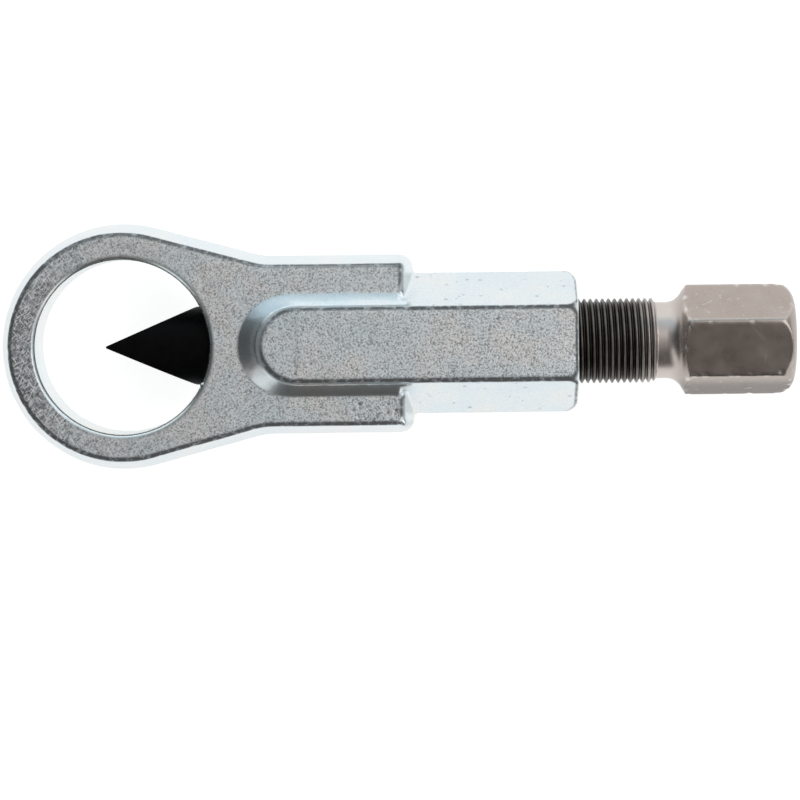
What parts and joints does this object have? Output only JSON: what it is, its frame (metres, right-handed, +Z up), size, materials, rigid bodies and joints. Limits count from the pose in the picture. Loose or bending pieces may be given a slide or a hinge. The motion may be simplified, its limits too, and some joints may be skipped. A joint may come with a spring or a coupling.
{
  "type": "nut splitter",
  "caption": "Hand nut splitter: forged ring that takes a nut, tapering neck and hexagon barrel, and a screw with hexagon head that drives a wedge chisel into the ring.",
  "frame": {"origin": "under the middle of the bounding box, on the plane of the barrel's lower flat, below the tool axis", "axes": "+X along the tool axis from the ring to the screw head, +Z up along the axis of the nut hole, +Y across the ring"},
  "size_m": [0.1312, 0.0404, 0.021],
  "materials": {
    "forging": "shot-blasted forging with bright zinc plating",
    "spindle_steel": "turned and milled, browned and oiled",
    "chisel_steel": "hardened and black oxidised",
    "bearing_steel": "polished",
    "spring_steel": "drawn spring wire",
    "pin_steel": "ground"
  },
  "bodies": {
    "frame": {"frame": "forging", "guide_pin": "pin_steel"},
    "chisel": {"chisel": "chisel_steel"},
    "spindle": {"spindle": "spindle_steel", "thrust_ball": "bearing_steel", "retaining_ring": "spring_steel"}
  },
  "joints": [
    {"name": "chisel_advance", "type": "slide", "parent": "frame", "child": "chisel", "axis": [-1, 0, 0], "range_m": [-0.0165, 0.011]},
    {"name": "spindle_turn", "type": "hinge", "parent": "chisel", "child": "spindle", "pos_m": [0, 0, 0.0105], "axis": [-1, 0, 0], "range_deg": [-5945, 3965]}
  ],
  "couplings": [
    {"joint": "spindle_turn", "follows": "chisel_advance", "rad_per_m": 6283.2}
  ]
}
